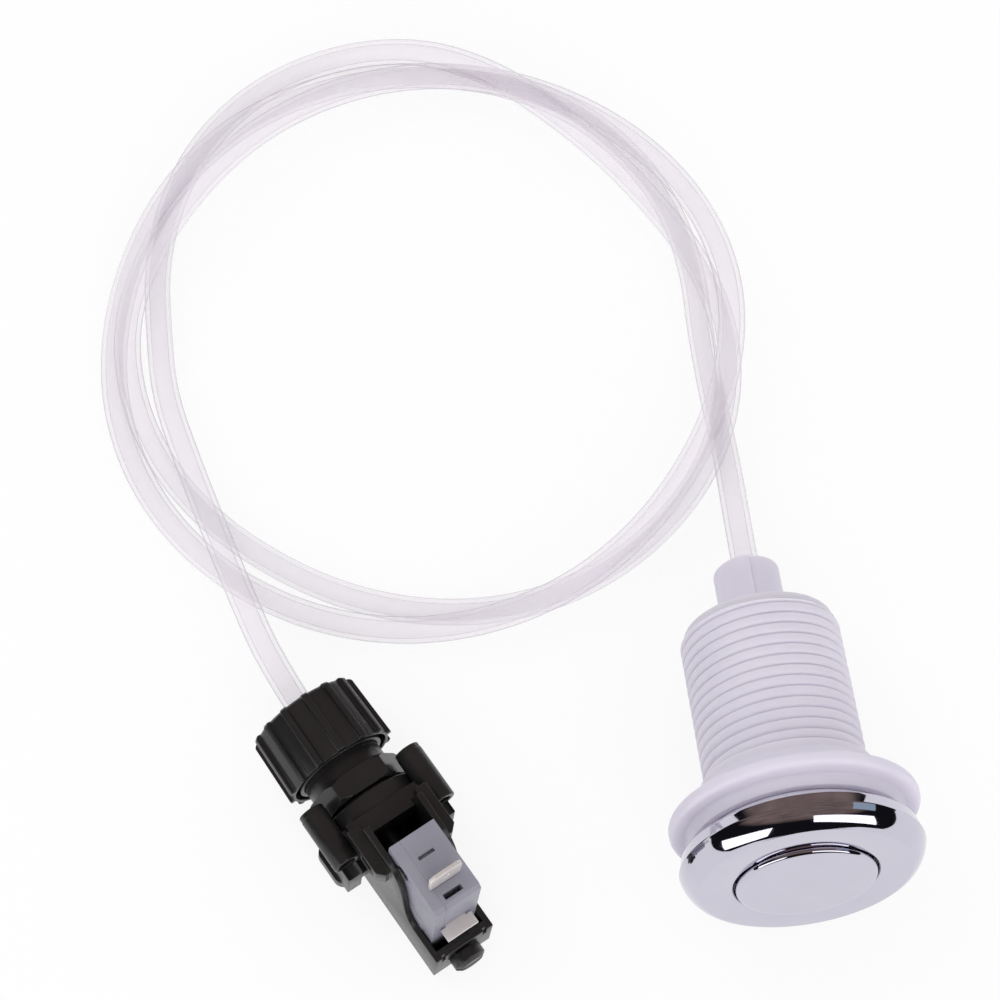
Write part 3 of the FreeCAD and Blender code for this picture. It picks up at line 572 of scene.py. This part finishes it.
nut_profile = ([(16.06, -2.42), (20.4, -2.42)] + rounded((20.45, -2.77), 0.35, 90, 12, 4)
               + [(21.15, -4.2)] + rounded((21.75, -4.15), 0.55, 190, 265, 4) + [(22.6, -4.85)]
               + rounded((23.1, -6.15), 1.2, 78, 0, 6) + rounded((23.1, -6.75), 1.2, 0, -62, 5)
               + [(22.3, -8.3), (20.6, -9.6), (19.0, -10.8), (17.9, -11.7), (17.35, -12.3), (17.15, -12.9),
                  (17.1, -14.0)]
               + rounded((16.75, -14.1), 0.35, 0, -90, 3) + [(16.06, -14.45), (16.06, -2.42)])
flanged_nut = spun("flanged_nut", nut_profile, 160)
lay(flanged_nut, button_place)
round_edges(flanged_nut, 0.05, 2, 50)
dress(flanged_nut, "base", ["lock_nut"], white_plastic)

# %% [markdown]
# ## Threaded body
# The real shell carries a moulded thread of broad rounded ridges with narrow grooves, 2.34 mm apart. The Screw
# modifier draws such a ridge in one go. Its ends are trimmed flat, and the rest of the shell, spun as an open
# profile, is bridged to them, so that the thread runs out under the flange and ends in a short lead-in.

# %% Thread
PITCH = 2.34
TURNS = 22
RIDGE_START = -50.55
THREAD_END, THREAD_TOP = -45.9, -0.5
ridge = [(15.42, 0.0), (15.50, 0.10), (15.80, 0.26), (15.94, 0.46), (16.0, 0.86), (16.0, 1.50), (15.94, 1.88),
         (15.80, 2.08), (15.50, 2.24), (15.42, PITCH)]
thread = drawn_line("threaded_body", [(r, z + RIDGE_START) for r, z in ridge])
let_go()
thread.select_set(True)
bpy.context.view_layer.objects.active = thread
coil = thread.modifiers.new("thread", "SCREW")
coil.angle, coil.screw_offset, coil.iterations = math.tau, PITCH * MM, TURNS
coil.steps = coil.render_steps = 96
coil.axis = "Z"
coil.use_smooth_shade = True
bpy.ops.object.modifier_apply(modifier=coil.name)
bpy.ops.object.mode_set(mode="EDIT")
bpy.ops.mesh.select_all(action="SELECT")
bpy.ops.mesh.remove_doubles(threshold=0.01 * MM)
bpy.ops.mesh.bisect(plane_co=(0, 0, THREAD_END * MM), plane_no=(0, 0, 1), clear_inner=True)
bpy.ops.mesh.select_all(action="SELECT")
bpy.ops.mesh.bisect(plane_co=(0, 0, THREAD_TOP * MM), plane_no=(0, 0, 1), clear_outer=True)
bpy.ops.object.mode_set(mode="OBJECT")
print("thread points", len(thread.data.vertices))

# %% The rest of the shell
shell_profile = ([(16.0, -0.25), (16.0, 0), (21.0, 0)] + rounded((21.0, 0.3), 0.3, -90, 0, 3)
                 + [(21.3, 3.6), (13.8, 3.6), (13.8, 1.4), (14.5, 1.4), (14.5, -12.8), (12.3, -12.8),
                    (12.3, -14.4), (14.5, -14.4), (14.5, -48.2)]
                 + rounded((14.5, -47.6), 0.6, -85, 0, 5) + [(15.12, -46.3), (15.2, -46.05)])
shell = spun("shell_inside", shell_profile, 96)
let_go()
thread.select_set(True)
shell.select_set(True)
bpy.context.view_layer.objects.active = thread
bpy.ops.object.join()
bpy.ops.object.mode_set(mode="EDIT")
RIMS = ((-0.6, -0.2), (-46.1, -45.8))  # the local z where thread and shell meet, under the flange and at the end
for low, high in RIMS:
    bpy.ops.mesh.select_all(action="DESELECT")
    bpy.ops.object.mode_set(mode="OBJECT")
    uses = {}  # an open rim's edges belong to one face only
    for face in thread.data.polygons:
        for key in face.edge_keys:
            uses[key] = uses.get(key, 0) + 1
    for edge in thread.data.edges:
        ends = [thread.data.vertices[v].co.z / MM for v in edge.vertices]
        edge.select = uses.get(edge.key, 0) == 1 and all(low <= z <= high for z in ends)
    bpy.ops.object.mode_set(mode="EDIT")
    bpy.ops.mesh.select_mode(type="EDGE")
    bpy.ops.mesh.bridge_edge_loops()
bpy.ops.mesh.select_all(action="SELECT")
bpy.ops.mesh.normals_make_consistent(inside=False)
bpy.ops.mesh.select_mode(type="VERT")
bpy.ops.object.mode_set(mode="OBJECT")
lay(thread, button_place)
bpy.ops.object.shade_smooth_by_angle(angle=math.radians(40))
dress(thread, "base", ["button_housing"], white_plastic)

# %% [markdown]
# ## Collar
# The plug that closes the thread carries a stepped collar for the tube. It is a copy of the CAD plug. The rim of
# its mouth is much rounder than its other edges, so those edges are picked by their place and bevelled first.

# %% Collar
def within(piece, place, kind, test):
    """Selects, in edit mode, the edges or faces that pass a test of their middle and corners in local mm."""
    let_go()
    piece.select_set(True)
    bpy.context.view_layer.objects.active = piece
    bpy.ops.object.mode_set(mode="EDIT")
    bpy.ops.mesh.select_mode(type=kind)
    bpy.ops.mesh.select_all(action="DESELECT")
    bpy.ops.object.mode_set(mode="OBJECT")
    back = place.inverted()
    mesh = piece.data
    spots = [back @ vertex.co / MM for vertex in mesh.vertices]
    parts = mesh.edges if kind == "EDGE" else mesh.polygons
    for part in parts:
        own = [spots[v] for v in part.vertices]
        part.select = test(sum(own, Vector()) / len(own), own)
    bpy.ops.object.mode_set(mode="EDIT")
    return sum(part.select for part in parts)


MOUTH_Z, MOUTH_BORE_R = -62.3, 6.0
collar_plug = from_cad("collar_plug", "rear_cap")
picked = within(collar_plug, button_place, "EDGE", lambda middle, own: all(
    abs(v.z - MOUTH_Z) < 0.01 and v.xy.length > MOUTH_BORE_R for v in own))
bpy.ops.mesh.bevel(offset=1.1 * MM, segments=5, affect="EDGES")
let_go()
print("collar edges", picked)
round_edges(collar_plug, 0.2)
dress(collar_plug, "base", ["rear_cap"], white_plastic)

# %% [markdown]
# ## Inlet, drum and bosses
# Past the hexagon the inlet widens into a round drum, and two smooth bosses stand at its sides for the screws.
# The CAD has them as plain blocks in two halves. Here the copy of the inlet is cut off at its hexagon, and the
# drum and the bosses are spun and laid beside it, without a parting line.

# %% Inlet, drum and bosses
def trimmed(piece, place, z_mm):
    """Cuts off what lies past a local z and closes the cut."""
    let_go()
    piece.select_set(True)
    bpy.context.view_layer.objects.active = piece
    bpy.ops.object.mode_set(mode="EDIT")
    bpy.ops.mesh.select_all(action="SELECT")
    bpy.ops.mesh.bisect(plane_co=place @ Vector((0, 0, z_mm * MM)), plane_no=place.col[2].xyz,
                        use_fill=True, clear_outer=True)
    bpy.ops.object.mode_set(mode="OBJECT")


HEXAGON_END = 22.25
BOSS_X, BOSS_Y = 11.2, 6.6

inlet = from_cad("inlet", "inlet_housing")
trimmed(inlet, module_place, HEXAGON_END)
round_edges(inlet, 0.16)
dress(inlet, "base", ["inlet_housing"], black_plastic)

drum_profile = ([(0, 22.0), (8.2, 22.0), (8.2, 23.0)] + rounded((9.8, 23.6), 0.6, -90, 0, 4)
                + [(10.4, 27.4), (0, 27.4)])
inlet_drum = spun("inlet_drum", drum_profile, 96)
lay(inlet_drum, module_place)
round_edges(inlet_drum, 0.1, 2, 40)
dress(inlet_drum, "base", [], black_plastic)

for side, name in ((-1, "left_boss"), (1, "right_boss")):
    boss_profile = ([(0, 20.4), (2.3, 20.4)] + rounded((2.3, 20.85), 0.45, -90, 0, 4)
                    + rounded((2.5, 32.0), 0.25, 0, 90, 3)
                    + [(1.9, 32.25), (1.6, 32.0), (1.6, 26.6), (0, 26.6)])
    boss = spun(name, boss_profile, 48)
    lay(boss, module_place @ Matrix.Translation(Vector((side * BOSS_X, BOSS_Y, 0)) * MM))
    bpy.ops.object.shade_smooth_by_angle(angle=math.radians(40))
    dress(boss, "base", [], black_plastic)

# %% [markdown]
# ## Blade on the far side
# Only a short end of the second blade stands out of the real switch, so the copy of the CAD blade is cut short.

# %% Output blade
BLADE_END = 55.4
output_blade = from_cad("output_blade", "output_terminal")
trimmed(output_blade, module_place, BLADE_END)
round_edges(output_blade, 0.10)
dress(output_blade, "switch", ["output_terminal"], tinned_brass)

# %% [markdown]
# ## Softened pieces
# The other moulded pieces have the right form in the CAD already, so their edges are only rounded. Two slots of
# the switch's front are pushed in deeper, by moving the faces at their bottom, so that they look dark.

# %% Softened pieces
SLOT_BOTTOMS = (((40.9, 42.1), 1.5), ((49.4, 51.2), 4.0))  # local z from and to, and how much deeper, in mm
softened = [
    ("ribbed_nut", "fluted_nut", "base", "black_plastic", black_plastic, 0.22),
    ("bracket", "switch_bracket", "base", "black_plastic", black_plastic, 0.18),
    ("snap_case", "switch_case", "switch", "grey_plastic", grey_plastic, 0.14),
    ("snap_cover", "switch_cover", "switch", "grey_plastic", grey_plastic, 0.14),
    ("common_blade", "common_terminal", "switch", "tinned_brass", tinned_brass, 0.10),
    ("knob", "adjusting_knob", "knob", "black_plastic", black_plastic, 0.14),
]
for name, node, body, slot, material, width in softened:
    piece = from_cad(name, node)
    if name == "snap_case":
        for (low, high), depth in SLOT_BOTTOMS:
            found = within(piece, module_place, "FACE", lambda middle, own: 15.5 < middle.y < 18.3 and all(
                -2.2 < v.x < 2.4 and low < v.z < high and abs(v.y - middle.y) < 0.01 for v in own))
            bpy.ops.transform.translate(value=module_place.col[1].xyz * -depth * MM)
            let_go()
            print("opening faces", found)
    round_edges(piece, width)
    dress(piece, body, [node], material)

# %% [markdown]
# ## Hidden pieces
# The bellows, spring, diaphragm, pusher and contacts are inside. They keep their CAD shapes and get the finish
# of what they are made of.

# %% Hidden pieces
hidden = {"bellows": black_rubber, "return_spring": spring_steel, "diaphragm": black_rubber,
          "ferrule": black_plastic, "pusher": black_plastic, "switch_plunger": black_plastic,
          "contact_blade": tinned_brass}
for node, material in hidden.items():
    slots = frame["nodes"][node].data.materials
    slots.clear()
    slots.append(material)
print("hidden pieces", len(hidden))

# %% Let go of the selection
let_go()
